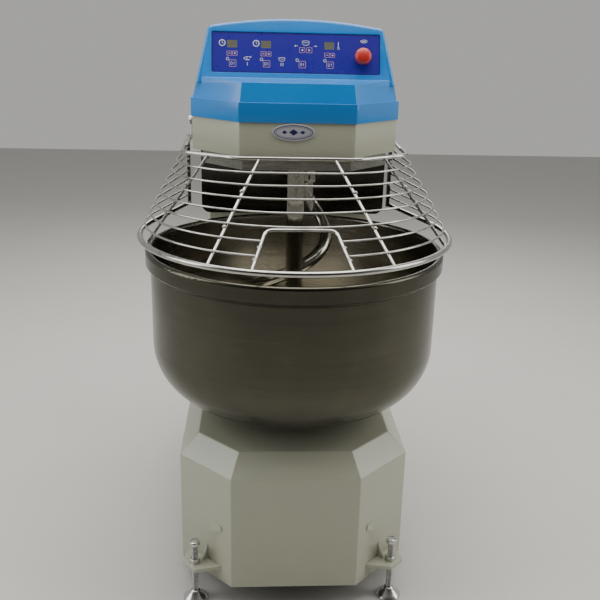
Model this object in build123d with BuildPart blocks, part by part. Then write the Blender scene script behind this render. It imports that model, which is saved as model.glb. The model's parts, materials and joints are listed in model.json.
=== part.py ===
"""Spiral dough mixer with a revolving bowl, a spiral hook, a fixed breaker bar and a wire guard.

Frame: +X to the operator's right, +Y to the back, +Z up. The origin is on the floor, under the
middle of the machine's overall length and width. All sizes are in millimetres.
"""

import os
from math import acos, atan, atan2, cos, degrees, hypot, radians, sin, sqrt, tan

from build123d import *

os.makedirs("parts", exist_ok=True)

# ---------------------------------------------------------------- driving dimensions
# Axes
bowl_y = -200.0  # bowl axis, which is also the breaker bar's
spiral_x = 30.0  # the spiral runs a little right of the bowl axis
spiral_y = bowl_y + 195.0
spiral_motor_y = bowl_y + 545.0
bowl_motor_y = bowl_y + 520.0

# Sheet and clearances
sheet = 4.0
running_gap = 0.05  # radial clearance of a shaft in its bearing
belt_gap = 0.4  # belts stand just off the pulleys, which belong to other bodies

# Base: an eight-sided box with a bevelled top
base_bottom = 65.0
base_wall_top = 372.0
base_bevel = 47.0
base_top = 424.0
base_nose_half = 158.0
base_half = 291.0
base_front_y = bowl_y - 310.0
base_shoulder_y = bowl_y - 179.0
base_rear_y = bowl_y + 779.5
base_rear_cut = 75.0
chassis_thick = 8.0

# Column and head
column_half = 240.0
column_front_y = bowl_y + 400.0
column_rear_y = bowl_y + 688.0
head_bottom = 1107.0
band_bottom = 1190.0
band_top = 1236.0
band_nose_half = 143.0
band_half = 268.0
band_front_y = bowl_y - 42.0
band_shoulder_y = bowl_y + 101.0
band_rear_y = bowl_y + 715.0
head_inset = 3.0  # grey head stands this far inside the blue band
skirt_bottom = 1074.0
frame_plate_top = head_bottom + 20.0

# Blue cover above the band
collar_step = 6.0  # ledge on top of the band
collar_top = 1281.0  # at the nose
collar_rise = 2.7  # degrees that the collar's top climbs towards the panel
cover_lean = 12.6  # degrees that the cover's sides lean inwards
cover_wall = 4.0
hump_shoulder = 1410.0
hump_crown = 1430.0
panel_foot_y = bowl_y + 92.0
panel_foot_z = 1286.0
panel_tilt = 17.7  # degrees back from upright
panel_width = 428.0
panel_height = 103.0
panel_centre_up = 65.5  # along the sloping face, from its foot
panel_recess = 4.0
rear_slope_start_y = bowl_y + 320.0
rear_slope = 10.0  # degrees down towards the back

# Panel fittings, measured on the panel from its centre
window_places = (-162.0, -76.5, 84.0)
window_up = 21.0
window_width = 25.0
window_height = 19.0
stop_place = (169.0, -8.0)
stop_bore_r = 11.0
stop_stem_r = 10.7
stop_stem_foot = -2.5
stop_collar_top = 3.5
stop_travel = 5.0
stop_cap_r = 21.0
stop_cap_foot = stop_collar_top + stop_travel + 0.5
stop_cap_rim = 5.0
stop_cap_crown = 11.0

# Bowl
bowl_rim_r = 380.0
bowl_r = 368.0
bowl_wall = 4.0
bowl_bottom = 480.0
bowl_wall_top = 872.0
bowl_rim_z = 880.0
bowl_knuckle = 150.0
foot_ring_r = 211.0
foot_ring_bottom = 462.0
shaft_r = 30.0
bowl_pulley_r = 180.0
bowl_motor_pulley_r = 45.0
bowl_pulley_z = 190.0
groove_pitch = 14.0
motor_shaft_r = 12.0

# Spiral and breaker bar
hook_bar_r = 17.0
hook_reach = 132.0  # centre line of the bar from the spiral's axis
hook_root_r = 28.0
hook_pitch = 400.0
hook_start = 80.0  # degrees, measured from +X towards the back
hook_end = -345.0
hook_growth = 235.0  # degrees over which the coil opens out to its full reach
hook_level_z = 900.0  # height of the bar where it passes the +X side
collar_bottom_z = 1010.0
collar_r = 36.0
spiral_pulley_r = 150.0
spiral_motor_pulley_r = 60.0
spiral_pulley_z = 1210.0
breaker_r = 22.0
breaker_tip_z = 510.0

# Guard
ring_tube_r = 7.0
top_tube_r = 5.0
rod_r = 4.0
wire_r = 2.5
ring_z = 913.0
top_tube_z = 1106.5
ring_r = 391.0
wire_count = 7
first_wire = 0.14  # share of the way from the top tube to the ring
last_wire = 0.87
post_x = 298.0
post_y = bowl_y + 368.0
post_width = 9.0
post_depth = 22.0
hinge_y = bowl_y + 285.0
hinge_z = 1162.0
hinge_pin_r = 8.0
lug_inner_x = 273.5
lug_thick = 6.0
chute_top_half = 78.0
chute_foot_half = 110.0
chute_top_z = 980.0
chute_top_y = bowl_y - 272.0
chute_foot_y = bowl_y - 375.0
tube_nose = (150.0, bowl_y - 57.0)  # where the top tube's straight runs cross, in plan
tube_side = (287.0, bowl_y + 38.0)

# Feet
plate_top_z = 109.0
plate_thick = 10.0
plate_reach = 55.0
bolt_reach = 34.0
screw_r = 8.0
cup_r = 32.0
cup_height = 26.0
screw_head_top = 172.0
screw_head_height = 12.0
nut_corner_r = 14.0
front_plate_half = 62.0
rear_plate_half = 46.0
plate_nose_half = 23.0
gusset_along = 9.0  # from the screw, towards the corner where the chamfer starts
gusset_reach = 18.0  # stops short of the lock nut
gusset_rise = 41.0
gusset_thick = 6.0
foot_along_front = 98.0  # along the front chamfer, from its front corner
plug_along = 49.0
plug_z = 219.0
plug_length = 34.0
plug_height = 18.0
plug_thick = 3.0
plug_edge = 1.2

# ---------------------------------------------------------------- shared shapes


def nose_plan(nose_half, half, front_y, shoulder_y, rear_y, rear_cut=0.0):
    """Plan corners of a box with a flat nose, two chamfers and, if wanted, cut rear corners."""
    right = [(nose_half, front_y), (half, shoulder_y), (half, rear_y - rear_cut)]
    if rear_cut:
        right.append((half - rear_cut, rear_y))
    return right + [(-x, y) for x, y in reversed(right)]


def lerp(a, b, t):
    """The point a share t of the way from a to b."""
    return tuple(p + (q - p) * t for p, q in zip(a, b))


def write(piece, name):
    """Label a finished sub-part and write its STEP file."""
    piece.part.label = name
    export_step(piece.part, f"parts/{name}.step")


base_plan = nose_plan(base_nose_half, base_half, base_front_y, base_shoulder_y, base_rear_y, base_rear_cut)
band_plan = nose_plan(band_nose_half, band_half, band_front_y, band_shoulder_y, band_rear_y)
bowl_axis = Axis((0, bowl_y, 0), (0, 0, 1))
bowl_plane = Plane.XZ.offset(-bowl_y)  # upright plane through the bowl's axis, facing the front

# ---------------------------------------------------------------- base

with BuildPart() as base_housing:
    with BuildSketch(Plane.XY.offset(base_bottom)):
        Polygon(*base_plan, align=None)
    extrude(amount=base_wall_top - base_bottom)
    bevel_height = base_top - base_wall_top
    extrude(
        base_housing.faces().sort_by(Axis.Z)[-1],
        amount=bevel_height,
        taper=degrees(atan(base_bevel / bevel_height)),
    )
    outer_edges = base_housing.edges().filter_by(lambda e: e.center().Z > base_bottom + 1)
    offset(amount=-sheet, openings=base_housing.faces().sort_by(Axis.Z)[0], kind=Kind.INTERSECTION)
    soft = base_housing.edges().filter_by(
        lambda e: any((e.center() - o.center()).length < 0.01 for o in outer_edges)
    )
    fillet(soft, radius=7)
    # Hole in the top for the bowl's bearing housing, and the way up into the column
    with BuildSketch(Plane.XY.offset(base_top)):
        with Locations((0, bowl_y)):
            Circle(80)
        with Locations((0, (column_front_y + column_rear_y) / 2)):
            Rectangle(2 * column_half - 40, column_rear_y - column_front_y - 40)
    extrude(amount=-2 * sheet, mode=Mode.SUBTRACT)
write(base_housing, "base_housing")

with BuildPart() as base_chassis_plate:
    with BuildSketch(Plane.XY.offset(base_bottom)):
        Polygon(*base_plan, align=None)
        offset(amount=-sheet - 0.2, kind=Kind.INTERSECTION)
    extrude(amount=chassis_thick)
    fillet(base_chassis_plate.edges().filter_by(Axis.Z), radius=6)
write(base_chassis_plate, "base_chassis_plate")

chassis_top = base_bottom + chassis_thick
gland_place = (-180, 456)  # on the column's back wall
bridge_top = 404.0
bridge_half = 210.0
bearing_body_r = 75.0
bearing_seat_r = 55.0

with BuildPart() as base_bridge_frame:
    with BuildSketch(Plane.XY.offset(bridge_top)):
        with Locations((0, bowl_y)):
            Rectangle(2 * bridge_half, 250)
            Circle(bearing_body_r + 1, mode=Mode.SUBTRACT)
    extrude(amount=-12)
    with BuildSketch(Plane.XY.offset(chassis_top)):
        with Locations((bridge_half - 5, bowl_y), (-bridge_half + 5, bowl_y)):
            Rectangle(10, 250)
    extrude(amount=bridge_top - 12 - chassis_top)
write(base_bridge_frame, "base_bridge_frame")

with BuildPart() as bowl_bearing_housing:
    with Locations((0, bowl_y, 250)):
        Cylinder(bearing_body_r, 198, align=(Align.CENTER, Align.CENTER, Align.MIN))
    with Locations((0, bowl_y, bridge_top)):
        Cylinder(125, 14, align=(Align.CENTER, Align.CENTER, Align.MIN))
    with Locations((0, bowl_y, 250)):
        Cylinder(
            bearing_seat_r, 198, align=(Align.CENTER, Align.CENTER, Align.MIN), mode=Mode.SUBTRACT
        )
    fillet(bowl_bearing_housing.edges().filter_by(GeomType.CIRCLE).group_by(Axis.Z)[-1], radius=2)
write(bowl_bearing_housing, "bowl_bearing_housing")

with BuildPart() as bowl_bearings:
    for seat_z in (262, 412):
        with BuildSketch(Plane.XY.offset(seat_z)):
            with Locations((0, bowl_y)):
                Circle(bearing_seat_r)
                Circle(shaft_r + running_gap, mode=Mode.SUBTRACT)
        extrude(amount=27)
write(bowl_bearings, "bowl_bearings")

# ---------------------------------------------------------------- bowl

with BuildPart() as bowl:
    with BuildSketch(bowl_plane):
        flat_r = bowl_r - bowl_knuckle
        with BuildLine():
            outer_foot = Line((0, bowl_bottom), (flat_r, bowl_bottom))
            outer_turn = CenterArc((flat_r, bowl_bottom + bowl_knuckle), bowl_knuckle, -90, 90)
            Line(outer_turn @ 1, (bowl_r, bowl_wall_top))
            Line((bowl_r, bowl_wall_top), (bowl_r - bowl_wall, bowl_wall_top))
            Line((bowl_r - bowl_wall, bowl_wall_top), (bowl_r - bowl_wall, bowl_bottom + bowl_knuckle))
            CenterArc((flat_r, bowl_bottom + bowl_knuckle), bowl_knuckle - bowl_wall, 0, -90)
            Line((flat_r, bowl_bottom + bowl_wall), (0, bowl_bottom + bowl_wall))
            Line((0, bowl_bottom + bowl_wall), (0, bowl_bottom))
        make_face()
    revolve(axis=bowl_axis)
write(bowl, "bowl")

with BuildPart() as bowl_rim_band:
    lip_r = bowl_rim_z - bowl_wall_top
    with BuildSketch(bowl_plane):
        with BuildLine():
            Line((bowl_r, 830), (bowl_rim_r, 842))
            Line((bowl_rim_r, 842), (bowl_rim_r, bowl_wall_top))
            CenterArc((bowl_rim_r - lip_r, bowl_wall_top), lip_r, 0, 180)
            Line((bowl_rim_r - 2 * lip_r, bowl_wall_top), (bowl_r, bowl_wall_top))
            Line((bowl_r, bowl_wall_top), (bowl_r, 830))
        make_face()
    revolve(axis=bowl_axis)
write(bowl_rim_band, "bowl_rim_band")

with BuildPart() as bowl_foot_ring:
    with BuildSketch(Plane.XY.offset(foot_ring_bottom)):
        with Locations((0, bowl_y)):
            Circle(foot_ring_r)
            Circle(foot_ring_r - 12, mode=Mode.SUBTRACT)
    extrude(amount=bowl_bottom - foot_ring_bottom)
write(bowl_foot_ring, "bowl_foot_ring")

with BuildPart() as bowl_hub:
    with BuildSketch(Plane.XY.offset(foot_ring_bottom)):
        with Locations((0, bowl_y)):
            Circle(110)
            Circle(shaft_r, mode=Mode.SUBTRACT)
            with PolarLocations(85, 6):
                Circle(6, mode=Mode.SUBTRACT)
    extrude(amount=bowl_bottom - foot_ring_bottom)
write(bowl_hub, "bowl_hub")

with BuildPart() as bowl_shaft:
    with BuildSketch(Plane.XY.offset(bowl_pulley_z - 6)):
        with Locations((0, bowl_y)):
            Circle(shaft_r)
    extrude(amount=bowl_bottom - bowl_pulley_z + 2)
    chamfer(bowl_shaft.edges().filter_by(GeomType.CIRCLE), length=2)
write(bowl_shaft, "bowl_shaft")


def pulley_profile(radius, bore, foot_z, grooves):
    """Half section of a V-belt pulley: a rim with grooves, in (radius, height)."""
    points = [(bore, foot_z), (radius, foot_z)]
    for groove in range(grooves):
        z = foot_z + 4 + groove * groove_pitch
        points += [(radius, z), (radius - 9, z + 3), (radius - 9, z + 7), (radius, z + 10)]
    top_z = foot_z + grooves * groove_pitch + 4
    return points + [(radius, top_z), (bore, top_z)]


with BuildPart() as bowl_pulley:
    with BuildSketch(bowl_plane):
        Polygon(*pulley_profile(bowl_pulley_r, shaft_r, bowl_pulley_z, 2), align=None)
    revolve(axis=bowl_axis)
write(bowl_pulley, "bowl_pulley")


def belt_loop(near, near_r, far, far_r, foot_z):
    """One V-belt, a flat-sided loop round two pulleys."""
    with BuildPart() as loop:
        for grow, mode in ((belt_gap + 7, Mode.ADD), (belt_gap, Mode.SUBTRACT)):
            with BuildSketch(Plane.XY.offset(foot_z)):
                with Locations(near):
                    Circle(near_r + grow)
                with Locations(far):
                    Circle(far_r + grow)
                make_hull()
            extrude(amount=9, mode=mode)
    return loop.part


bowl_belt_loops = [
    belt_loop(
        (0, bowl_y),
        bowl_pulley_r,
        (0, bowl_motor_y),
        bowl_motor_pulley_r,
        bowl_pulley_z + 4.5 + groove_pitch * groove,
    )
    for groove in range(2)
]
with BuildPart() as bowl_belt:
    add(bowl_belt_loops)
write(bowl_belt, "bowl_belt")

motor_plate_z = 246.0

with BuildPart() as bowl_motor_mount:
    with BuildSketch(Plane.XY.offset(motor_plate_z)):
        with Locations((0, bowl_motor_y)):
            Rectangle(200, 190)
            Circle(34, mode=Mode.SUBTRACT)
    extrude(amount=10)
    with BuildSketch(Plane.XY.offset(chassis_top)):
        with Locations((95, bowl_motor_y), (-95, bowl_motor_y)):
            Rectangle(10, 190)
    extrude(amount=motor_plate_z - chassis_top)
write(bowl_motor_mount, "bowl_motor_mount")


def motor_body(y, foot_z, body_r, length, bore_r, way):
    """A flanged, ribbed motor that stands on foot_z (way 1) or hangs from it (way -1)."""
    with BuildPart() as body:
        with BuildSketch(Plane.XY.offset(foot_z)):
            with Locations((0, y)):
                RectangleRounded(2 * body_r, 2 * body_r, 12)
        extrude(amount=way * 12)
        with BuildSketch(Plane.XY.offset(foot_z + way * 12)):
            with Locations((0, y)):
                Circle(body_r - 6)
                with PolarLocations(body_r - 4, 24):
                    Rectangle(8, 3)
        extrude(amount=way * (length - 12))
        # Blind bore for the rotor's shaft
        with BuildSketch(Plane.XY.offset(foot_z)):
            with Locations((0, y)):
                Circle(bore_r)
        extrude(amount=way * 60, mode=Mode.SUBTRACT)
    return body.part


bowl_motor_solid = motor_body(bowl_motor_y, motor_plate_z + 10, 80, 215, motor_shaft_r + running_gap, 1)
with BuildPart() as bowl_motor:
    add(bowl_motor_solid)
write(bowl_motor, "bowl_motor")

with BuildPart() as bowl_motor_rotor:
    with BuildSketch(Plane.XZ.offset(-bowl_motor_y)):
        Polygon(*pulley_profile(bowl_motor_pulley_r, 0, bowl_pulley_z, 2), align=None)
    revolve(axis=Axis((0, bowl_motor_y, 0), (0, 0, 1)))
    with Locations((0, bowl_motor_y, bowl_pulley_z)):
        Cylinder(motor_shaft_r, 112, align=(Align.CENTER, Align.CENTER, Align.MIN))
write(bowl_motor_rotor, "bowl_motor_rotor")

# ---------------------------------------------------------------- column

with BuildPart() as column_housing:
    with BuildSketch(Plane.XY.offset(base_top)):
        with Locations((0, (column_front_y + column_rear_y) / 2)):
            Rectangle(2 * column_half, column_rear_y - column_front_y)
    extrude(amount=head_bottom - base_top)
    ends = column_housing.faces().filter_by(Axis.Z)
    offset(amount=-sheet, openings=ends, kind=Kind.INTERSECTION)
    # Service opening in the back
    with BuildSketch(Plane.XZ.offset(-column_rear_y)):
        with Locations((0, (base_top + head_bottom) / 2)):
            RectangleRounded(360, 520, 15)
    extrude(amount=2 * sheet, mode=Mode.SUBTRACT)
    # Hole for the mains cable's gland
    with BuildSketch(Plane.XZ.offset(-column_rear_y)):
        with Locations(gland_place):
            Circle(12)
    extrude(amount=2 * sheet, mode=Mode.SUBTRACT)
write(column_housing, "column_housing")

with BuildPart() as rear_cover:
    with BuildSketch(Plane.XZ.offset(-column_rear_y)):
        with Locations((0, (base_top + head_bottom) / 2)):
            RectangleRounded(400, 560, 20)
            with GridLocations(376, 264, 2, 3):
                Circle(3.2, mode=Mode.SUBTRACT)
            # Cooling slots, low down
            with Locations((0, -180)):
                with GridLocations(0, 16, 1, 7):
                    SlotOverall(180, 6, mode=Mode.SUBTRACT)
    extrude(amount=-2)
write(rear_cover, "rear_cover")

with BuildPart() as rear_cover_screws:
    with BuildSketch(Plane.XZ.offset(-column_rear_y - 2)):
        with Locations((0, (base_top + head_bottom) / 2)):
            with GridLocations(376, 264, 2, 3):
                Circle(6.5)
    extrude(amount=-4)
    with BuildSketch(Plane.XZ.offset(-column_rear_y - 2)):
        with Locations((0, (base_top + head_bottom) / 2)):
            with GridLocations(376, 264, 2, 3):
                Circle(3)
    extrude(amount=2)
write(rear_cover_screws, "rear_cover_screws")

with BuildPart() as cable_gland:
    with BuildSketch(Plane.XZ.offset(-column_rear_y)):
        with Locations(gland_place):
            RegularPolygon(19, 6)
            Circle(7, mode=Mode.SUBTRACT)
    extrude(amount=-10)
    with BuildSketch(Plane.XZ.offset(-column_rear_y - 10)):
        with Locations(gland_place):
            Circle(15)
            Circle(7, mode=Mode.SUBTRACT)
    extrude(amount=-16)
    with BuildSketch(Plane.XZ.offset(-column_rear_y)):
        with Locations(gland_place):
            Circle(12)
            Circle(7, mode=Mode.SUBTRACT)
    extrude(amount=14)
write(cable_gland, "cable_gland")

shield_left = -264.0
shield_right = 288.0
shield_foot_z = 876.0

with BuildPart() as rear_splash_shield:
    with BuildSketch(Plane.XZ.offset(-column_front_y)):
        with Locations(((shield_left + shield_right) / 2, (shield_foot_z + head_bottom) / 2)):
            Rectangle(shield_right - shield_left, head_bottom - shield_foot_z)
        fillet(vertices().group_by(Axis.Y)[0], radius=24)
    extrude(amount=3)
write(rear_splash_shield, "rear_splash_shield")

# Electrics inside the column
with BuildPart() as electrical_box:
    with BuildSketch(Plane.XY.offset(base_top + 30)):
        with Locations((-150, column_rear_y - 130)):
            Rectangle(120, 160)
    extrude(amount=260)
    offset(amount=-2, openings=electrical_box.faces().sort_by(Axis.Y)[-1], kind=Kind.INTERSECTION)
    # Angle bracket that carries it on the column's left wall
    with BuildSketch(Plane.XY.offset(base_top + 30)):
        with Locations(((-210 - column_half + sheet) / 2, column_rear_y - 130)):
            Rectangle(column_half - sheet - 210, 120)
    extrude(amount=6)
write(electrical_box, "electrical_box")

with BuildPart() as contactors:
    for row in range(3):
        with BuildSketch(Plane.XY.offset(base_top + 60 + row * 75)):
            with Locations((-178, column_rear_y - 170), (-124, column_rear_y - 170)):
                Rectangle(44, 76)
        extrude(amount=58)
write(contactors, "contactors")

# ---------------------------------------------------------------- head

with BuildPart() as head_housing:
    with BuildSketch(Plane.XY.offset(head_bottom)):
        Polygon(*band_plan, align=None)
        offset(amount=-head_inset, kind=Kind.INTERSECTION)
    extrude(amount=band_bottom - head_bottom)
    fillet(head_housing.edges().filter_by(Axis.Z), radius=8)
    with BuildSketch(Plane.XY.offset(head_bottom)):
        Polygon(*band_plan, align=None)
        offset(amount=-head_inset - sheet, kind=Kind.INTERSECTION)
    extrude(amount=band_bottom - head_bottom, mode=Mode.SUBTRACT)
    # Bosses that the guard's hinge bolts screw into
    head_side_x = band_half - head_inset
    for side in (1, -1):
        with BuildSketch(Plane.YZ.offset(side * (head_side_x - sheet))):
            with Locations((hinge_y, hinge_z)):
                Circle(14)
        extrude(amount=side * (lug_inner_x - 0.5 - head_side_x + sheet))
        with BuildSketch(Plane.YZ.offset(side * (head_side_x - sheet))):
            with Locations((hinge_y, hinge_z)):
                Circle(hinge_pin_r)
        extrude(amount=side * 20, mode=Mode.SUBTRACT)
write(head_housing, "head_housing")

with BuildPart() as head_frame_plate:
    with BuildSketch(Plane.XY.offset(head_bottom)):
        Polygon(*band_plan, align=None)
        offset(amount=-head_inset - sheet, kind=Kind.INTERSECTION)
        with Locations((spiral_x, spiral_y)):
            Circle(71, mode=Mode.SUBTRACT)
        with Locations((0, spiral_motor_y)):
            Circle(36, mode=Mode.SUBTRACT)
    extrude(amount=frame_plate_top - head_bottom)
write(head_frame_plate, "head_frame_plate")

with BuildPart() as head_skirt:
    skirt_plan = nose_plan(134, 238, band_front_y + 12, band_shoulder_y - 12, column_front_y - 3)
    with BuildSketch(Plane.XY.offset(skirt_bottom)):
        Polygon(*skirt_plan, align=None)
    extrude(amount=head_bottom - skirt_bottom)
    offset(amount=-3, openings=head_skirt.faces().sort_by(Axis.Z)[-1], kind=Kind.INTERSECTION)
    with BuildSketch(Plane.XY.offset(skirt_bottom)):
        with Locations((spiral_x, spiral_y)):
            Circle(44)
        with Locations((0, bowl_y)):
            Circle(breaker_r + 1)
    extrude(amount=4, mode=Mode.SUBTRACT)
write(head_skirt, "head_skirt")

# ---------------------------------------------------------------- top cover

panel_face = Plane(
    origin=(0, panel_foot_y, panel_foot_z),
    x_dir=(1, 0, 0),
    z_dir=(0, -cos(radians(panel_tilt)), sin(radians(panel_tilt))),
)
panel_plane = Plane(
    origin=panel_face.from_local_coords((0, panel_centre_up, 0)),
    x_dir=panel_face.x_dir,
    z_dir=panel_face.z_dir,
)
slope_plane = Plane(
    origin=(0, rear_slope_start_y, hump_crown),
    x_dir=(1, 0, 0),
    z_dir=(0, sin(radians(rear_slope)), cos(radians(rear_slope))),
)
collar_plane = Plane(
    origin=(0, band_front_y, collar_top),
    x_dir=(1, 0, 0),
    z_dir=(0, -sin(radians(collar_rise)), cos(radians(collar_rise))),
)


def cover_half(z):
    """Half width of the cover's leaning sides at a height."""
    return band_half - collar_step - (z - band_top) * tan(radians(cover_lean))


def cover_hump(inset):
    """The part that carries the panel: its front outline taken back and cut to the slopes."""
    foot = panel_foot_z - 12
    with BuildPart() as hump:
        with BuildSketch(Plane.XZ.offset(-band_front_y)):
            with BuildLine():
                Line((-cover_half(foot), foot), (-cover_half(hump_shoulder), hump_shoulder))
                ThreePointArc(
                    (-cover_half(hump_shoulder), hump_shoulder),
                    (0, hump_crown),
                    (cover_half(hump_shoulder), hump_shoulder),
                )
                Line((cover_half(hump_shoulder), hump_shoulder), (cover_half(foot), foot))
                Line((cover_half(foot), foot), (-cover_half(foot), foot))
            make_face()
            fillet(vertices().group_by(Axis.Y)[-1], radius=16)
            if inset:
                offset(amount=-inset)
        extrude(amount=-(band_rear_y - collar_step - inset - band_front_y))
        split(bisect_by=panel_face.offset(-inset), keep=Keep.BOTTOM)
        split(bisect_by=slope_plane.offset(-inset), keep=Keep.BOTTOM)
        if not inset:
            front_rim = hump.edges().filter_by(
                lambda e: abs(panel_face.to_local_coords(e.center()).Z) < 0.5 and e.center().Z > foot + 9
            )
            fillet(front_rim, radius=8)
    return hump.part


def cover_collar(inset):
    """The eight-sided collar above the band."""
    with BuildPart() as collar:
        with BuildSketch(Plane.XY.offset(band_top - inset)):
            Polygon(*band_plan, align=None)
            offset(amount=-collar_step - inset, kind=Kind.INTERSECTION)
        extrude(amount=2 * (collar_top - band_top), taper=cover_lean)
        split(bisect_by=collar_plane.offset(-inset), keep=Keep.BOTTOM)
    return collar.part


cover_outer_forms = [cover_hump(0), cover_collar(0)]
cover_inner_forms = [cover_hump(cover_wall + panel_recess), cover_collar(cover_wall)]

with BuildPart() as top_cover:
    with BuildSketch(Plane.XY.offset(band_bottom)):
        Polygon(*band_plan, align=None)
    extrude(amount=band_top - band_bottom)
    fillet(top_cover.edges().filter_by(Axis.Z), radius=8)
    add(cover_outer_forms)
    add(cover_inner_forms, mode=Mode.SUBTRACT)
    with BuildSketch(Plane.XY.offset(band_bottom)):
        Polygon(*band_plan, align=None)
        offset(amount=-cover_wall - head_inset, kind=Kind.INTERSECTION)
    extrude(amount=band_top - band_bottom - cover_wall, mode=Mode.SUBTRACT)
    with BuildSketch(Plane.XY.offset(band_top - cover_wall)):
        Polygon(*band_plan, align=None)
        offset(amount=-collar_step - cover_wall, kind=Kind.INTERSECTION)
    extrude(amount=cover_wall, mode=Mode.SUBTRACT)
    # Recess for the control panel
    with BuildSketch(panel_plane):
        RectangleRounded(panel_width, panel_height, 4)
    extrude(amount=-panel_recess, mode=Mode.SUBTRACT)
    # Hole behind the stop button
    with BuildSketch(panel_plane.offset(-panel_recess)):
        with Locations(stop_place):
            Circle(stop_bore_r + 3)
    extrude(amount=-30, mode=Mode.SUBTRACT)
write(top_cover, "top_cover")


# ---------------------------------------------------------------- panel and stop button

with BuildPart() as control_panel:
    with BuildSketch(panel_plane.offset(-panel_recess)):
        RectangleRounded(panel_width - 0.4, panel_height - 0.4, 4)
        with Locations(stop_place):
            Circle(stop_bore_r + 3, mode=Mode.SUBTRACT)
        for window_x in window_places:
            with Locations((window_x, window_up)):
                Rectangle(window_width, window_height, mode=Mode.SUBTRACT)
    extrude(amount=2.5)
write(control_panel, "control_panel")

with BuildPart() as display_windows:
    with BuildSketch(panel_plane.offset(-panel_recess)):
        with Locations(*[(window_x, window_up) for window_x in window_places]):
            Rectangle(window_width, window_height)
    extrude(amount=2.2)
write(display_windows, "display_windows")

with BuildPart() as stop_button_collar:
    with BuildSketch(panel_plane.offset(-panel_recess)):
        with Locations(stop_place):
            Circle(stop_bore_r + 3)
            Circle(stop_bore_r, mode=Mode.SUBTRACT)
    extrude(amount=2.5)
    with BuildSketch(panel_plane.offset(-panel_recess + 2.5)):
        with Locations(stop_place):
            Circle(18)
            Circle(stop_bore_r, mode=Mode.SUBTRACT)
    extrude(amount=stop_collar_top + panel_recess - 2.5)
write(stop_button_collar, "stop_button_collar")

stop_plane = Plane(
    origin=panel_plane.from_local_coords((stop_place[0], stop_place[1], 0)),
    x_dir=panel_plane.x_dir,
    z_dir=panel_plane.z_dir,
)
stop_half_plane = Plane(
    origin=stop_plane.origin,
    x_dir=stop_plane.x_dir,
    z_dir=stop_plane.x_dir.cross(stop_plane.z_dir),
)
with BuildPart() as stop_button_head:
    with BuildSketch(stop_half_plane):
        rim_top = stop_cap_foot + stop_cap_rim
        with BuildLine():
            Polyline(
                (0, rim_top + stop_cap_crown),
                (0, stop_stem_foot),
                (stop_stem_r, stop_stem_foot),
                (stop_stem_r, stop_cap_foot),
                (stop_cap_r, stop_cap_foot),
                (stop_cap_r, rim_top),
            )
            Bezier(
                (stop_cap_r, rim_top),
                (stop_cap_r, rim_top + 0.8 * stop_cap_crown),
                (0.45 * stop_cap_r, rim_top + stop_cap_crown),
                (0, rim_top + stop_cap_crown),
            )
        make_face()
    revolve(axis=Axis(stop_plane.origin, stop_plane.z_dir))
write(stop_button_head, "stop_button_head")

with BuildPart() as badge:
    with BuildSketch(Plane.XZ.offset(-band_front_y - head_inset)):
        with Locations((-10, 1168)):
            Ellipse(52, 21)
    extrude(amount=3)
    fillet(badge.faces().sort_by(Axis.Y)[0].edges(), radius=1.2)
write(badge, "badge")

# ---------------------------------------------------------------- spiral drive

spiral_axis = Axis((spiral_x, spiral_y, 0), (0, 0, 1))
bearing_foot_z = 1083.0

with BuildPart() as spiral_bearing_housing:
    for radius, foot_z, height, mode in (
        (70, bearing_foot_z, 117, Mode.ADD),
        (100, frame_plate_top, 16, Mode.ADD),
        (50, bearing_foot_z, 117, Mode.SUBTRACT),
    ):
        with BuildSketch(Plane.XY.offset(foot_z)):
            with Locations((spiral_x, spiral_y)):
                Circle(radius)
        extrude(amount=height, mode=mode)
    with BuildSketch(Plane.XY.offset(frame_plate_top)):
        with Locations((spiral_x, spiral_y)):
            with PolarLocations(86, 6):
                Circle(5.5)
    extrude(amount=16, mode=Mode.SUBTRACT)
write(spiral_bearing_housing, "spiral_bearing_housing")

with BuildPart() as spiral_bearings:
    for seat_z in (bearing_foot_z + 6, 1165):
        with BuildSketch(Plane.XY.offset(seat_z)):
            with Locations((spiral_x, spiral_y)):
                Circle(50)
                Circle(shaft_r + running_gap, mode=Mode.SUBTRACT)
        extrude(amount=27)
write(spiral_bearings, "spiral_bearings")

hook_joint_z = 1034.0
stem_length = 118.0
with BuildPart() as spiral_shaft:
    with BuildSketch(Plane.XY.offset(hook_joint_z)):
        with Locations((spiral_x, spiral_y)):
            Circle(shaft_r)
    extrude(amount=spiral_pulley_z + 4 * groove_pitch + 10 - hook_joint_z)
    chamfer(spiral_shaft.edges().filter_by(GeomType.CIRCLE).sort_by(Axis.Z)[-1], length=2)
write(spiral_shaft, "spiral_shaft")

with BuildPart() as spiral_collar:
    with BuildSketch(Plane.XY.offset(collar_bottom_z)):
        with Locations((spiral_x, spiral_y)):
            Circle(collar_r)
            Circle(shaft_r, mode=Mode.SUBTRACT)
    extrude(amount=52)
    chamfer(spiral_collar.edges().filter_by(GeomType.CIRCLE).group_by(Axis.Z)[0], length=1)
    # Clamping slot on the operator's side
    with BuildSketch(Plane.XZ.offset(-spiral_y + collar_r)):
        with Locations((spiral_x + 14, collar_bottom_z + 20)):
            SlotOverall(18, 6, rotation=90)
    extrude(amount=-collar_r, mode=Mode.SUBTRACT)
write(spiral_collar, "spiral_collar")


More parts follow.
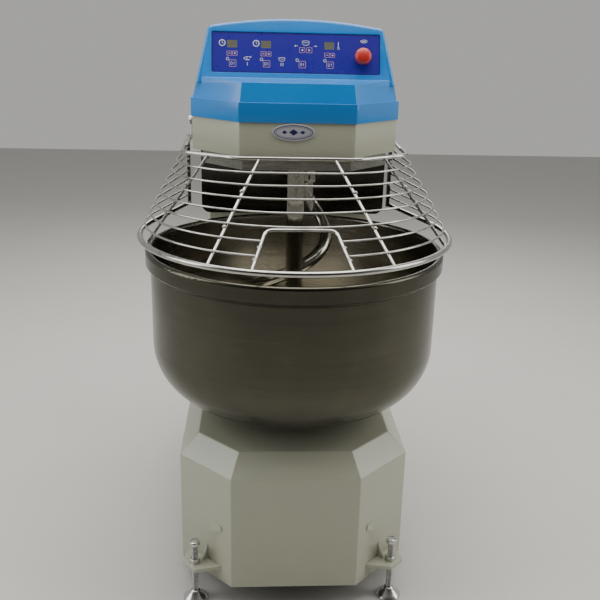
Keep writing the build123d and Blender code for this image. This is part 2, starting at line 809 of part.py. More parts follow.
def hook_point(angle):
    """Centre of the hook's bar at an angle in degrees from +X, as it winds down inside the bowl."""
    z = hook_level_z + hook_pitch * angle / 360
    grown = min(1.0, (hook_start - angle) / hook_growth)
    reach = hook_root_r + (hook_reach - hook_root_r) * (3 - 2 * grown) * grown**2
    depth = bowl_bottom + bowl_wall + bowl_knuckle - bowl_wall - z
    if depth > 0:
        # Near the floor the bar draws in along the bowl's rounded corner
        axis_distance = sqrt(spiral_x**2 + (spiral_y - bowl_y) ** 2)
        room = bowl_knuckle - bowl_wall - hook_bar_r - 6
        limit = bowl_r - bowl_knuckle - axis_distance + sqrt(max(room**2 - depth**2, 0))
        reach = min(reach, limit)
    turn = radians(angle)
    return (spiral_x + reach * cos(turn), spiral_y + reach * sin(turn), z)


hook_steps = 18
hook_turn = (hook_end - hook_start) / hook_steps
hook_route = [hook_point(hook_start + hook_turn * step) for step in range(hook_steps + 1)]
with BuildPart() as spiral_hook:
    with BuildLine():
        hook_line = Spline(*hook_route)
    with BuildSketch(Plane(origin=hook_line @ 0, z_dir=hook_line % 0)):
        Circle(hook_bar_r)
    sweep(path=hook_line)
    with Locations(hook_line @ 1):
        Sphere(hook_bar_r)
    # Stem that carries the coil, domed at its foot
    with BuildSketch(Plane(origin=(spiral_x, spiral_y, hook_joint_z), x_dir=(1, 0, 0), z_dir=(0, -1, 0))):
        with BuildLine():
            Polyline(
                (0, -stem_length),
                (0, 0),
                (shaft_r, 0),
                (shaft_r, 14 - stem_length),
            )
            Bezier(
                (shaft_r, 14 - stem_length),
                (shaft_r, -stem_length),
                (0.5 * shaft_r, -stem_length),
                (0, -stem_length),
            )
        make_face()
    revolve(axis=spiral_axis)
write(spiral_hook, "spiral_hook")

with BuildPart() as spiral_pulley:
    with BuildSketch(Plane.XZ.offset(-spiral_y)):
        with Locations((spiral_x, 0)):
            Polygon(*pulley_profile(spiral_pulley_r, shaft_r, spiral_pulley_z, 4), align=None)
    revolve(axis=spiral_axis)
write(spiral_pulley, "spiral_pulley")

with BuildPart() as spiral_motor_rotor:
    with BuildSketch(Plane.XZ.offset(-spiral_motor_y)):
        Polygon(*pulley_profile(spiral_motor_pulley_r, 0, spiral_pulley_z, 4), align=None)
    revolve(axis=Axis((0, spiral_motor_y, 0), (0, 0, 1)))
    with Locations((0, spiral_motor_y, spiral_pulley_z + 1)):
        Cylinder(20, spiral_pulley_z - 1040, align=(Align.CENTER, Align.CENTER, Align.MAX))
write(spiral_motor_rotor, "spiral_motor_rotor")

spiral_belt_loops = [
    belt_loop(
        (spiral_x, spiral_y),
        spiral_pulley_r,
        (0, spiral_motor_y),
        spiral_motor_pulley_r,
        spiral_pulley_z + 4.5 + groove_pitch * groove,
    )
    for groove in range(4)
]
with BuildPart() as spiral_belts:
    add(spiral_belt_loops)
write(spiral_belts, "spiral_belts")

with BuildPart() as spiral_motor_mount:
    with BuildSketch(Plane.XY.offset(head_bottom)):
        with Locations((0, spiral_motor_y)):
            Rectangle(2 * (column_half - sheet), 270)
            Circle(36, mode=Mode.SUBTRACT)
    extrude(amount=-14)
write(spiral_motor_mount, "spiral_motor_mount")

spiral_motor_solid = motor_body(spiral_motor_y, head_bottom - 14, 112, 330, 20 + running_gap, -1)
with BuildPart() as spiral_motor:
    add(spiral_motor_solid)
write(spiral_motor, "spiral_motor")

with BuildPart() as breaker_bar:
    with BuildSketch(Plane.XY.offset(head_bottom)):
        with Locations((0, bowl_y)):
            Rectangle(100, 48)
            with GridLocations(74, 26, 2, 2):
                Circle(5.5, mode=Mode.SUBTRACT)
    extrude(amount=-12)
    with BuildSketch(Plane.XY.offset(head_bottom)):
        with Locations((0, bowl_y)):
            Circle(breaker_r)
    extrude(amount=breaker_tip_z - head_bottom)
    fillet(breaker_bar.edges().group_by(Axis.Z)[0], radius=6)
write(breaker_bar, "breaker_bar")

# ---------------------------------------------------------------- guard


def polar_point(radius, angle):
    """A point in plan, from the bowl's axis."""
    return (radius * cos(radians(angle)), bowl_y + radius * sin(radians(angle)))


def mirrored(route):
    """A route in plan or in space, carried over to the left-hand side."""
    return [(-point[0], *point[1:]) for point in route]


# The ring's corners are where its tangents cross; the side tangents run on to the rear posts
post_reach = hypot(post_x, post_y - bowl_y)
side_normal = degrees(atan2(post_y - bowl_y, post_x) - acos(ring_r / post_reach))
ring_turn = (90 + side_normal) / 2
corner_reach = ring_r / cos(radians(ring_turn / 2))
ring_nose = polar_point(corner_reach, -90 + ring_turn / 2)
ring_side = polar_point(corner_reach, side_normal - ring_turn / 2)


def guard_loop(share):
    """Plan corners and bend radii of the loop a share of the way from the top tube to the ring."""
    nose = lerp(tube_nose, ring_nose, share)
    side = lerp(tube_side, ring_side, share)
    nose_turn = atan2(side[1] - nose[1], side[0] - nose[0])
    side_turn = atan2(post_y - side[1], post_x - side[0]) - nose_turn
    # Lower loops are rounder: their bends take up more of each straight run
    roundness = 0.985 - 0.9 * (1 - share) ** 4
    nose_bend = roundness * nose[0]
    nose_radius = nose_bend / tan(nose_turn / 2)
    side_room = hypot(side[0] - nose[0], side[1] - nose[1]) - nose_bend
    side_radius = min(385 - 335 * (1 - share) ** 3, 0.98 * side_room / tan(side_turn / 2))
    right = [(post_x, post_y - post_depth / 2), side, nose]
    corners = right + mirrored(right)[::-1]
    return corners, [side_radius, nose_radius, nose_radius, side_radius]


def guard_height(share):
    """Height of that loop."""
    return top_tube_z + (ring_z - top_tube_z) * share


def bent_tube(corners, radii, tube_r):
    """A round bar along straight runs joined by tangent bends."""
    with BuildPart() as tube:
        with BuildLine():
            route = FilletPolyline(*corners, radius=radii)
        with BuildSketch(Plane(origin=route @ 0, z_dir=route % 0)):
            Circle(tube_r)
        sweep(path=route)
    return tube.part


def guard_bar(share, tube_r):
    """The whole loop a share of the way down the guard."""
    corners, radii = guard_loop(share)
    z = guard_height(share)
    return bent_tube([(x, y, z) for x, y in corners], radii, tube_r)


def straight_bar(start, end, bar_r):
    """A straight round bar between two points."""
    with BuildPart() as bar:
        run = Vector(*end) - Vector(*start)
        with BuildSketch(Plane(origin=start, z_dir=run)):
            Circle(bar_r)
        extrude(amount=run.length)
    return bar.part


top_tube_solid = guard_bar(0, top_tube_r)
with BuildPart() as guard_top_tube:
    add(top_tube_solid)
write(guard_top_tube, "guard_top_tube")

ring_solid = guard_bar(1, ring_tube_r)
with BuildPart() as guard_bottom_ring:
    add(ring_solid)
write(guard_bottom_ring, "guard_bottom_ring")

wire_shares = [first_wire + (last_wire - first_wire) * k / (wire_count - 1) for k in range(wire_count)]
wire_solids = [guard_bar(share, wire_r) for share in wire_shares]
with BuildPart() as guard_wires:
    add(wire_solids)
    # The lowest wires stop at the legs of the chute
    for share in wire_shares:
        z = guard_height(share)
        if z < chute_top_z - 2 * rod_r:
            fall = (chute_top_z - z) / (chute_top_z - ring_z)
            half = chute_top_half + (chute_foot_half - chute_top_half) * fall
            with Locations((0, bowl_y - 300, z)):
                Box(2 * half - 2, 200, 4 * wire_r, mode=Mode.SUBTRACT)
write(guard_wires, "guard_wires")

rod_ends = [
    ((94, bowl_y - 57), polar_point(ring_r - 8, -57.3)),
    ((221, bowl_y - 10), polar_point(ring_r - 8, -19.4)),
]
rod_solids = []
for top_end, ring_end in rod_ends:
    for side in (1, -1):
        start = (side * top_end[0], top_end[1], top_tube_z - 3)
        end = (side * ring_end[0], ring_end[1], ring_z - 2)
        rod_solids.append(straight_bar(start, end, rod_r))
with BuildPart() as guard_rods:
    add(rod_solids)
write(guard_rods, "guard_rods")

chute_solid = bent_tube(
    [
        (chute_foot_half, chute_foot_y, ring_z),
        (chute_top_half, chute_top_y, chute_top_z),
        (-chute_top_half, chute_top_y, chute_top_z),
        (-chute_foot_half, chute_foot_y, ring_z),
    ],
    [20, 20],
    rod_r,
)
with BuildPart() as guard_chute_frame:
    add(chute_solid)
write(guard_chute_frame, "guard_chute_frame")

with BuildPart() as guard_rear_posts:
    with BuildSketch(Plane.XY.offset(ring_z - ring_tube_r)):
        with Locations((post_x, post_y), (-post_x, post_y)):
            RectangleRounded(post_width, post_depth, 2)
    extrude(amount=top_tube_z - ring_z + ring_tube_r + top_tube_r)
write(guard_rear_posts, "guard_rear_posts")

lug_mid_x = lug_inner_x + lug_thick / 2
arm_route = [
    (lug_mid_x, hinge_y - 4, hinge_z - 19),
    (lug_mid_x, hinge_y - 20, top_tube_z + 18),
    (post_x - 12, hinge_y - 145, top_tube_z + 1),
]
arm_solids = [bent_tube(route, [25], rod_r) for route in (arm_route, mirrored(arm_route))]
with BuildPart() as guard_pivot_arms:
    add(arm_solids)
    for side in (1, -1):
        with BuildSketch(Plane.YZ.offset(side * lug_inner_x)):
            with Locations((hinge_y, hinge_z)):
                Circle(15)
            with Locations((hinge_y - 5, hinge_z - 24)):
                Circle(7)
            make_hull()
        extrude(amount=side * lug_thick)
        with BuildSketch(Plane.YZ.offset(side * lug_inner_x)):
            with Locations((hinge_y, hinge_z)):
                Circle(hinge_pin_r + running_gap)
        extrude(amount=side * lug_thick, mode=Mode.SUBTRACT)
write(guard_pivot_arms, "guard_pivot_arms")

with BuildPart() as guard_hinge_bolts:
    for side in (1, -1):
        with BuildSketch(Plane.YZ.offset(side * (head_side_x - sheet))):
            with Locations((hinge_y, hinge_z)):
                Circle(hinge_pin_r)
        extrude(amount=side * (lug_inner_x + lug_thick + 1 - head_side_x + sheet))
        with BuildSketch(Plane.YZ.offset(side * (lug_inner_x + lug_thick + 0.5))):
            with Locations((hinge_y, hinge_z)):
                RegularPolygon(13, 6)
        extrude(amount=side * 9)
write(guard_hinge_bolts, "guard_hinge_bolts")

# Safety switch that the guard's hinge works, inside the head
with BuildPart() as guard_interlock_switch:
    switch_wall_x = -(head_side_x - sheet)
    with BuildSketch(Plane.YZ.offset(switch_wall_x)):
        with Locations((hinge_y - 48, hinge_z - 6)):
            Rectangle(34, 44)
    extrude(amount=26)
    fillet(guard_interlock_switch.edges().filter_by(Axis.X), radius=3)
    with BuildSketch(Plane.YZ.offset(switch_wall_x + 8)):
        with Locations((hinge_y - 27, hinge_z - 6)):
            Rectangle(8, 10)
    extrude(amount=8)
write(guard_interlock_switch, "guard_interlock_switch")

# ---------------------------------------------------------------- feet


def chamfer_frame(start, end, along, z):
    """Plane on a chamfered wall, at a distance along it: X along the wall, Y straight out."""
    run = (Vector(*end) - Vector(*start)).normalized()
    place = Vector(*start) + run * along
    return Plane(origin=(place.X, place.Y, z), x_dir=(-run.X, -run.Y, 0), z_dir=(0, 0, 1))


plate_foot_z = plate_top_z - plate_thick
front_start, front_end = (base_nose_half, base_front_y), (base_half, base_shoulder_y)
rear_start, rear_end = (base_half, base_rear_y - base_rear_cut), (base_half - base_rear_cut, base_rear_y)
front_frame = chamfer_frame(front_start, front_end, foot_along_front, plate_foot_z)
rear_frame = chamfer_frame(rear_start, rear_end, base_rear_cut / sqrt(2), plate_foot_z)
right_feet = {"front_right": (front_frame, front_plate_half), "rear_right": (rear_frame, rear_plate_half)}

with BuildPart() as right_brackets:
    for frame, half in right_feet.values():
        with BuildSketch(frame):
            Polygon(
                (-half, 0),
                (half, 0),
                (plate_nose_half, plate_reach),
                (-plate_nose_half, plate_reach),
                align=None,
            )
            with Locations((0, bolt_reach)):
                Circle(screw_r + running_gap, mode=Mode.SUBTRACT)
        extrude(amount=plate_thick)
        # Upright gusset behind the screw
        cheek = Plane(
            origin=frame.from_local_coords((gusset_along, 0, plate_thick)),
            x_dir=frame.y_dir,
            z_dir=frame.x_dir,
        )
        with BuildSketch(cheek):
            Polygon((0, 0), (gusset_reach, 0), (0, gusset_rise), align=None)
        extrude(amount=gusset_thick / 2, both=True)
right_bracket_solids = right_brackets.part.solids()
with BuildPart() as foot_brackets:
    add(right_bracket_solids)
    mirror(about=Plane.YZ)
write(foot_brackets, "foot_brackets")

with BuildPart() as foot_lock_nuts:
    for frame, half in right_feet.values():
        with BuildSketch(frame.offset(plate_thick)):
            with Locations((0, bolt_reach)):
                RegularPolygon(nut_corner_r, 6)
                Circle(screw_r + running_gap, mode=Mode.SUBTRACT)
        extrude(amount=13)
    mirror(about=Plane.YZ)
write(foot_lock_nuts, "foot_lock_nuts")

for corner, (frame, half) in right_feet.items():
    bolt = frame.from_local_coords((0, bolt_reach, 0))
    for side, name in ((1, corner), (-1, corner.replace("right", "left"))):
        with BuildPart() as levelling_foot:
            x = side * bolt.X
            with BuildSketch(Plane.XZ.offset(-bolt.Y)):
                with Locations((x, 0)):
                    Polygon((0, 0), (cup_r, 0), (cup_r, 4), (12, cup_height), (0, cup_height), align=None)
            revolve(axis=Axis((x, bolt.Y, 0), (0, 0, 1)))
            with BuildSketch(Plane.XY.offset(cup_height)):
                with Locations((x, bolt.Y)):
                    Circle(screw_r)
            extrude(amount=screw_head_top - screw_head_height - cup_height)
            with BuildSketch(Plane.XY.offset(screw_head_top - screw_head_height)):
                with Locations((x, bolt.Y)):
                    RegularPolygon(nut_corner_r, 6)
            extrude(amount=screw_head_height)
        write(levelling_foot, f"levelling_foot_{name}")

plug_frame = chamfer_frame(front_start, front_end, plug_along, plug_z)
plug_plane = Plane(origin=plug_frame.origin, x_dir=plug_frame.x_dir, z_dir=plug_frame.y_dir)
plug_normal = Axis(plug_plane.origin, plug_plane.z_dir)
with BuildPart() as blind_plugs:
    with BuildSketch(plug_plane):
        SlotOverall(plug_length, plug_height)
    extrude(amount=plug_thick)
    fillet(blind_plugs.faces().sort_by(plug_normal)[-1].edges(), radius=plug_edge)
    mirror(about=Plane.YZ)
write(blind_plugs, "blind_plugs")
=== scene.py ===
import json
import math
import random

import bmesh
import bpy
from mathutils import Matrix, Vector
from mathutils.bvhtree import BVHTree

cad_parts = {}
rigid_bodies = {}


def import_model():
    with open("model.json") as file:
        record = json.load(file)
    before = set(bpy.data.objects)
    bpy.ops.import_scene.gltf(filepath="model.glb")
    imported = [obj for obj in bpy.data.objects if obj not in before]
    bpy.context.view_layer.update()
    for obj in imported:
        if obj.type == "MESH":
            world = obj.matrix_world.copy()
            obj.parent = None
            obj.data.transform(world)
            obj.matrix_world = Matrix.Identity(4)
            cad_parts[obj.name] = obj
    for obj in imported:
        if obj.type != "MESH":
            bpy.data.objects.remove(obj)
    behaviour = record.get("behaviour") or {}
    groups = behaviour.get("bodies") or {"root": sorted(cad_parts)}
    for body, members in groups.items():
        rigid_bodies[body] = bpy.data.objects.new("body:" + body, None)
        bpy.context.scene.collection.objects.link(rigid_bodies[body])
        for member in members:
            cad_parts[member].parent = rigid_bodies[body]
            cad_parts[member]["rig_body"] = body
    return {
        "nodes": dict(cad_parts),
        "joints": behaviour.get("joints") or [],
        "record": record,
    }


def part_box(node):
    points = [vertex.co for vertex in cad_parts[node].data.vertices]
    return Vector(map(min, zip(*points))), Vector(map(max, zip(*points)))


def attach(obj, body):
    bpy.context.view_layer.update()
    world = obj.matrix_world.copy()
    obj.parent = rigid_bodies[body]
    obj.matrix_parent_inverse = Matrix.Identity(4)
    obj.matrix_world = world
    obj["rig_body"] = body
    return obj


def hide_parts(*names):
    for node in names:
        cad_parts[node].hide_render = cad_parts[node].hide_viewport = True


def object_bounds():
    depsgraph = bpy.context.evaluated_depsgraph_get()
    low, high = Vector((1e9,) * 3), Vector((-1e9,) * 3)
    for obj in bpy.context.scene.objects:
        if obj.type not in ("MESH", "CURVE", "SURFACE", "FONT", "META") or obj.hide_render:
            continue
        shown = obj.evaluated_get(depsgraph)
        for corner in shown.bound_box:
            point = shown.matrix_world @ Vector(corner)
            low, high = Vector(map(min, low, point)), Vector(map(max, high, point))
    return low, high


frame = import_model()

cad_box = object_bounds()
nodes = frame["nodes"]
joints = {joint["name"]: joint for joint in frame["joints"]}
MM = 0.001


def middle(node):
    """Centre of a CAD node's box."""
    low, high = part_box(node)
    return (low + high) / 2


bowl_axis = middle("bowl_rim_band")
spiral_axis = middle("spiral_pulley")

# ---------------------------------------------------------------- camera, light and floor

scene = bpy.context.scene

CAMERA_PLACE = Vector((-0.0997, -2.1647, 1.3815))
CAMERA_YAW = 0.0595  # radians to the right
CAMERA_PITCH = 0.3209  # radians down
CAMERA_ROLL = 0.0233
CAMERA_LENS = 47.01


def make_camera():
    forward = Vector((
        math.sin(CAMERA_YAW) * math.cos(CAMERA_PITCH),
        math.cos(CAMERA_YAW) * math.cos(CAMERA_PITCH),
        -math.sin(CAMERA_PITCH),
    ))
    level = Vector((math.cos(CAMERA_YAW), -math.sin(CAMERA_YAW), 0))
    above = level.cross(forward)
    right = level * math.cos(CAMERA_ROLL) + above * math.sin(CAMERA_ROLL)
    up = above * math.cos(CAMERA_ROLL) - level * math.sin(CAMERA_ROLL)
    turn = Matrix((right, up, -forward)).transposed().to_4x4()
    data = bpy.data.cameras.new("camera")
    data.lens = CAMERA_LENS
    camera = bpy.data.objects.new("camera", data)
    camera.matrix_world = Matrix.Translation(CAMERA_PLACE) @ turn
    scene.collection.objects.link(camera)
    scene.camera = camera


def softbox(name, place, target, width, height, power, color=(1, 1, 1), mirrored=True):
    """A rectangular area light, in watts, that faces a point. If not mirrored, gloss doesn't show it."""
    data = bpy.data.lights.new(name, "AREA")
    data.shape = "RECTANGLE"
    data.size = width
    data.size_y = height
    data.energy = power
    data.color = color
    light = bpy.data.objects.new(name, data)
    light.location = place
    light.visible_glossy = mirrored
    light.rotation_euler = (Vector(target) - Vector(place)).to_track_quat("-Z", "Y").to_euler()
    scene.collection.objects.link(light)


make_camera()
softbox("light_above", (0.0, 0.1, 3.4), (0, 0, 0.8), 3.0, 2.6, 105, (1.0, 0.98, 0.94))
softbox("light_left", (-3.0, -0.6, 2.2), (0, 0, 0.7), 1.6, 2.4, 42, (0.97, 0.99, 1.0))
softbox("light_right", (3.0, -0.6, 2.2), (0, 0, 0.7), 1.6, 2.4, 42, (1.0, 0.98, 0.95))
softbox("light_front", (-0.6, -3.8, 3.0), (0, 0, 0.9), 1.2, 0.8, 3, mirrored=False)
softbox("light_strip", (0.0, -1.6, 3.3), (0, -0.2, 1.2), 2.6, 0.25, 6, (1.0, 0.99, 0.97))
softbox("light_back", (0.4, 3.0, 2.6), (0, 0, 1.0), 2.0, 1.4, 30)


def make_world():
    """A studio that is pale at the back and sides and dim in front, where polished steel mirrors it."""
    world = bpy.data.worlds.new("studio")
    world.use_nodes = True
    tree = world.node_tree
    direction = tree.nodes.new("ShaderNodeTexCoord").outputs["Generated"]
    split = tree.nodes.new("ShaderNodeSeparateXYZ")
    tree.links.new(direction, split.inputs["Vector"])
    ramp = tree.nodes.new("ShaderNodeMapRange")
    ramp.interpolation_type = "SMOOTHSTEP"
    for name, number in (("From Min", -0.95), ("From Max", 0.10), ("To Min", 0.04), ("To Max", 0.54)):
        ramp.inputs[name].default_value = number
    tree.links.new(split.outputs["Y"], ramp.inputs["Value"])
    background = tree.nodes["Background"]
    background.inputs["Color"].default_value = (0.80, 0.79, 0.76, 1)
    tree.links.new(ramp.outputs["Result"], background.inputs["Strength"])
    scene.world = world


make_world()

# ---------------------------------------------------------------- procedural materials


class Finish:
    """A procedural material: colour, roughness and bump built up from noise in the piece's own space."""

    def __init__(self, name, roughness=0.4, metallic=0.0, coat=0.0):
        self.material = bpy.data.materials.new(name)
        self.material.use_nodes = True
        self.tree = self.material.node_tree
        self.shader = self.tree.nodes["Principled BSDF"]
        self.shader.inputs["Roughness"].default_value = roughness
        self.shader.inputs["Metallic"].default_value = metallic
        self.shader.inputs["Coat Weight"].default_value = coat
        self.shader.inputs["Coat Roughness"].default_value = 0.06
        coordinates = self.tree.nodes.new("ShaderNodeTexCoord")
        self.place = coordinates.outputs["Object"]
        self.own_normal = coordinates.outputs["Normal"]
        self.normal = None

    def link(self, source, target):
        self.tree.links.new(source, target)

    def math(self, operation, first, second=0.0):
        node = self.tree.nodes.new("ShaderNodeMath")
        node.operation = operation
        for socket, value in zip(node.inputs, (first, second)):
            if isinstance(value, (int, float)):
                socket.default_value = value
            else:
                self.link(value, socket)
        return node.outputs[0]

    def stretched(self, scale):
        """Object coordinates scaled unequally, for streaks."""
        node = self.tree.nodes.new("ShaderNodeMapping")
        node.inputs["Scale"].default_value = scale
        self.link(self.place, node.inputs["Vector"])
        return node.outputs["Vector"]

    def ringed(self, axis, along, across):
        """Coordinates that change slowly round an upright axis and fast across the rings about it."""
        apart = self.tree.nodes.new("ShaderNodeVectorMath")
        apart.operation = "SUBTRACT"
        self.link(self.place, apart.inputs[0])
        apart.inputs[1].default_value = (axis.x, axis.y, 0)
        split = self.tree.nodes.new("ShaderNodeSeparateXYZ")
        self.link(apart.outputs["Vector"], split.inputs["Vector"])
        x, y, z = split.outputs
        radius = self.math("SQRT", self.math("ADD", self.math("MULTIPLY", x, x), self.math("MULTIPLY", y, y)))
        join = self.tree.nodes.new("ShaderNodeCombineXYZ")
        self.link(self.math("MULTIPLY", x, along), join.inputs["X"])
        self.link(self.math("MULTIPLY", y, along), join.inputs["Y"])
        self.link(self.math("MULTIPLY", self.math("ADD", radius, z), across), join.inputs["Z"])
        return join.outputs["Vector"]

    def facing(self, centre):
        """1 on faces that look towards a point, 0 on those that look away, in the piece's own space."""
        apart = self.tree.nodes.new("ShaderNodeVectorMath")
        apart.operation = "SUBTRACT"
        apart.inputs[0].default_value = centre
        self.link(self.place, apart.inputs[1])
        dot = self.tree.nodes.new("ShaderNodeVectorMath")
        dot.operation = "DOT_PRODUCT"
        self.link(apart.outputs["Vector"], dot.inputs[0])
        self.link(self.own_normal, dot.inputs[1])
        return self.span(dot.outputs["Value"], 0.0, 0.02)

    def noise(self, scale, detail, place=None):
        node = self.tree.nodes.new("ShaderNodeTexNoise")
        node.inputs["Scale"].default_value = scale
        node.inputs["Detail"].default_value = detail
        node.inputs["Roughness"].default_value = 0.55
        self.link(place or self.place, node.inputs["Vector"])
        return node.outputs["Fac"]

    def cells(self, scale):
        node = self.tree.nodes.new("ShaderNodeTexVoronoi")
        node.inputs["Scale"].default_value = scale
        self.link(self.place, node.inputs["Vector"])
        return node.outputs["Distance"]

    def span(self, value, low, high, out_low=0.0, out_high=1.0):
        """Maps a stretch of values to another, held at its ends."""
        node = self.tree.nodes.new("ShaderNodeMapRange")
        ends = (("From Min", low), ("From Max", high), ("To Min", out_low), ("To Max", out_high))
        for name, number in ends:
            node.inputs[name].default_value = number
        self.link(value, node.inputs["Value"])
        return node.outputs["Result"]

    def height(self):
        node = self.tree.nodes.new("ShaderNodeSeparateXYZ")
        self.link(self.place, node.inputs["Vector"])
        return node.outputs["Z"]

    def mix(self, share, first, second):
        """A colour between two colours."""
        node = self.tree.nodes.new("ShaderNodeMix")
        node.data_type = "RGBA"
        self.link(share, node.inputs[0])
        for socket, value in ((node.inputs[6], first), (node.inputs[7], second)):
            if isinstance(value, tuple):
                socket.default_value = (*value, 1)
            else:
                self.link(value, socket)
        return node.outputs[2]

    def color(self, value):
        if isinstance(value, tuple):
            self.shader.inputs["Base Color"].default_value = (*value, 1)
        else:
            self.link(value, self.shader.inputs["Base Color"])

    def roughness(self, value):
        self.link(value, self.shader.inputs["Roughness"])

    def round_edges(self, radius):
        """Shades sharp edges as if they had that radius."""
        node = self.tree.nodes.new("ShaderNodeBevel")
        node.samples = 4
        node.inputs["Radius"].default_value = radius
        self.normal = node.outputs["Normal"]
        self.link(self.normal, self.shader.inputs["Normal"])

    def edges(self, radius):
        """1 on sharp outer and inner edges, 0 on flat faces."""
        bevel = self.tree.nodes.new("ShaderNodeBevel")
        bevel.samples = 4
        bevel.inputs["Radius"].default_value = radius
        flat = self.tree.nodes.new("ShaderNodeNewGeometry")
        dot = self.tree.nodes.new("ShaderNodeVectorMath")
        dot.operation = "DOT_PRODUCT"
        self.link(bevel.outputs["Normal"], dot.inputs[0])
        self.link(flat.outputs["Normal"], dot.inputs[1])
        return self.span(dot.outputs["Value"], 0.80, 0.985, 1.0, 0.0)

    def bump(self, height, distance, strength=1.0):
        """Adds relief, in metres, over what is there."""
        node = self.tree.nodes.new("ShaderNodeBump")
        node.inputs["Strength"].default_value = strength
        node.inputs["Distance"].default_value = distance
        self.link(height, node.inputs["Height"])
        if self.normal:
            self.link(self.normal, node.inputs["Normal"])
        self.normal = node.outputs["Normal"]
        self.link(self.normal, self.shader.inputs["Normal"])


def paint(name, base, roughness=(0.28, 0.31)):
    """Sprayed enamel: orange peel, faint clouding, dust low down and worn edges."""
    finish = Finish(name, coat=0.35)
    cloud = finish.span(finish.noise(5, 5), 0.35, 0.7)
    dull = tuple(0.98 * c for c in base)
    tone = finish.mix(cloud, base, dull)
    low = finish.math("MULTIPLY", finish.span(finish.height(), 0.07, 0.24, 1.0, 0.0), finish.noise(22, 6))
    tone = finish.mix(finish.math("MULTIPLY", low, 0.3), tone, (0.30, 0.28, 0.23))
    specks = finish.span(finish.noise(260, 2), 0.74, 0.80)
    tone = finish.mix(finish.math("MULTIPLY", specks, 0.25), tone, (0.20, 0.20, 0.17))
    wear = finish.math("MULTIPLY", finish.edges(0.0015), finish.span(finish.noise(34, 5), 0.5, 0.75))
    tone = finish.mix(finish.math("MULTIPLY", wear, 0.35), tone, tuple(min(1.0, 1.35 * c) for c in base))
    finish.color(tone)
    finish.roughness(finish.span(finish.noise(14, 5), 0.3, 0.75, *roughness))
    finish.round_edges(0.0012)
    finish.bump(finish.noise(420, 2), 0.00004)
    finish.bump(finish.noise(3.2, 1), 0.0003, 0.3)
    return finish.material


def gloss_cover():
    """Moulded blue cover: deep gloss over a slightly wavy shell."""
    finish = Finish("blue_cover", coat=0.22)
    cloud = finish.span(finish.noise(4, 4), 0.3, 0.7)
    tone = finish.mix(cloud, (0.022, 0.250, 0.70), (0.018, 0.225, 0.64))
    wear = finish.math("MULTIPLY", finish.edges(0.002), finish.span(finish.noise(60, 4), 0.45, 0.8))
    tone = finish.mix(finish.math("MULTIPLY", wear, 0.3), tone, (0.12, 0.42, 0.80))
    scuff = finish.span(finish.noise(9, 8, finish.stretched((1, 6, 6))), 0.66, 0.74)
    tone = finish.mix(finish.math("MULTIPLY", scuff, 0.10), tone, (0.25, 0.45, 0.7))
    finish.color(tone)
    finish.roughness(finish.span(finish.noise(18, 5), 0.35, 0.8, 0.17, 0.24))
    finish.round_edges(0.0012)
    finish.bump(finish.noise(7, 2), 0.0014, 0.6)
    finish.bump(finish.noise(300, 2), 0.00002)
    return finish.material


def polished_rings(
    name, base, axis, roughness, depth=0.00002, streak=0.10, scratches=0.0, soiled=0.0, inner_painted_light=None
):
    """Stainless steel polished in rings about an upright axis, with an optional (colour, middle) pair that
    paints the faces looking towards the middle in that lighter colour: painted light, standing in for the lit
    inside.
    """
    finish = Finish(name, metallic=1.0)
    fine = finish.noise(1.0, 3, finish.ringed(axis, 3.0, 1400))
    broad = finish.noise(1.0, 4, finish.ringed(axis, 1.4, 60))
    tone = finish.mix(finish.span(broad, 0.35, 0.65), tuple((1 - streak) * c for c in base), base)
    tone = finish.mix(finish.math("MULTIPLY", fine, 0.22), tone, tuple(0.7 * c for c in base))
    if scratches:
        scratch = finish.span(finish.noise(1.0, 2, finish.ringed(axis, 7.0, 520)), 0.70, 0.74)
        patch = finish.span(finish.noise(2.4, 2), 0.52, 0.66)
        mark = finish.math("MULTIPLY", finish.math("MULTIPLY", scratch, patch), scratches)
        tone = finish.mix(mark, tone, tuple(min(1.0, 1.9 * c) for c in base))
    # Painted light: faces that look inward take a lighter colour, standing in for the light and reflections
    # inside the hollow
    if inner_painted_light:
        colour, centre = inner_painted_light
        inside = finish.facing(centre)
        share = finish.math("MULTIPLY", inside, finish.span(broad, 0.3, 0.7, 0.75, 1.0))
        tone = finish.mix(share, tone, colour)
    if soiled:
        film = finish.span(finish.noise(11, 7), 0.45, 0.75)
        tone = finish.mix(finish.math("MULTIPLY", film, soiled), tone, (0.36, 0.31, 0.23))
    finish.color(tone)
    finish.roughness(finish.span(finish.math("ADD", fine, finish.noise(6, 4)), 0.7, 1.3, *roughness))
    finish.round_edges(0.0008)
    finish.bump(fine, depth)
    finish.bump(finish.noise(2.6, 2), 0.0012, 0.35)
    return finish.material


def bright_bar():
    """Electropolished bar and wire, with the odd dull patch."""
    finish = Finish("stainless_bright", metallic=1.0)
    dull = finish.span(finish.noise(24, 5), 0.52, 0.72)
    finish.color(finish.mix(dull, (0.50, 0.49, 0.46), (0.33, 0.32, 0.29)))
    finish.roughness(finish.span(finish.noise(60, 4), 0.3, 0.7, 0.10, 0.26))
    finish.bump(finish.noise(900, 3), 0.00002)
    return finish.material


def brushed_sheet(name, base, roughness):
    """Stainless sheet brushed along X."""
    finish = Finish(name, metallic=1.0)
    lines = finish.noise(1.0, 3, finish.stretched((4, 900, 900)))
    film = finish.span(finish.noise(7, 6), 0.4, 0.7)
    finish.color(finish.mix(film, base, tuple(0.66 * c for c in base)))
    finish.roughness(finish.span(lines, 0.3, 0.7, *roughness))
    finish.round_edges(0.0006)
    finish.bump(lines, 0.00002)
    return finish.material


def turned_steel(name, base, roughness, mottle=0.15, grain=500.0):
    """Machined, ground or plated steel for fasteners, shafts and fittings."""
    finish = Finish(name, metallic=1.0)
    spots = finish.span(finish.noise(46, 5), 0.4, 0.7)
    finish.color(finish.mix(spots, base, tuple((1 - mottle) * c for c in base)))
    finish.roughness(finish.span(finish.noise(90, 4), 0.3, 0.7, *roughness))
    finish.round_edges(0.0006)
    finish.bump(finish.noise(1.0, 2, finish.stretched((12, 12, grain))), 0.00002)
    return finish.material


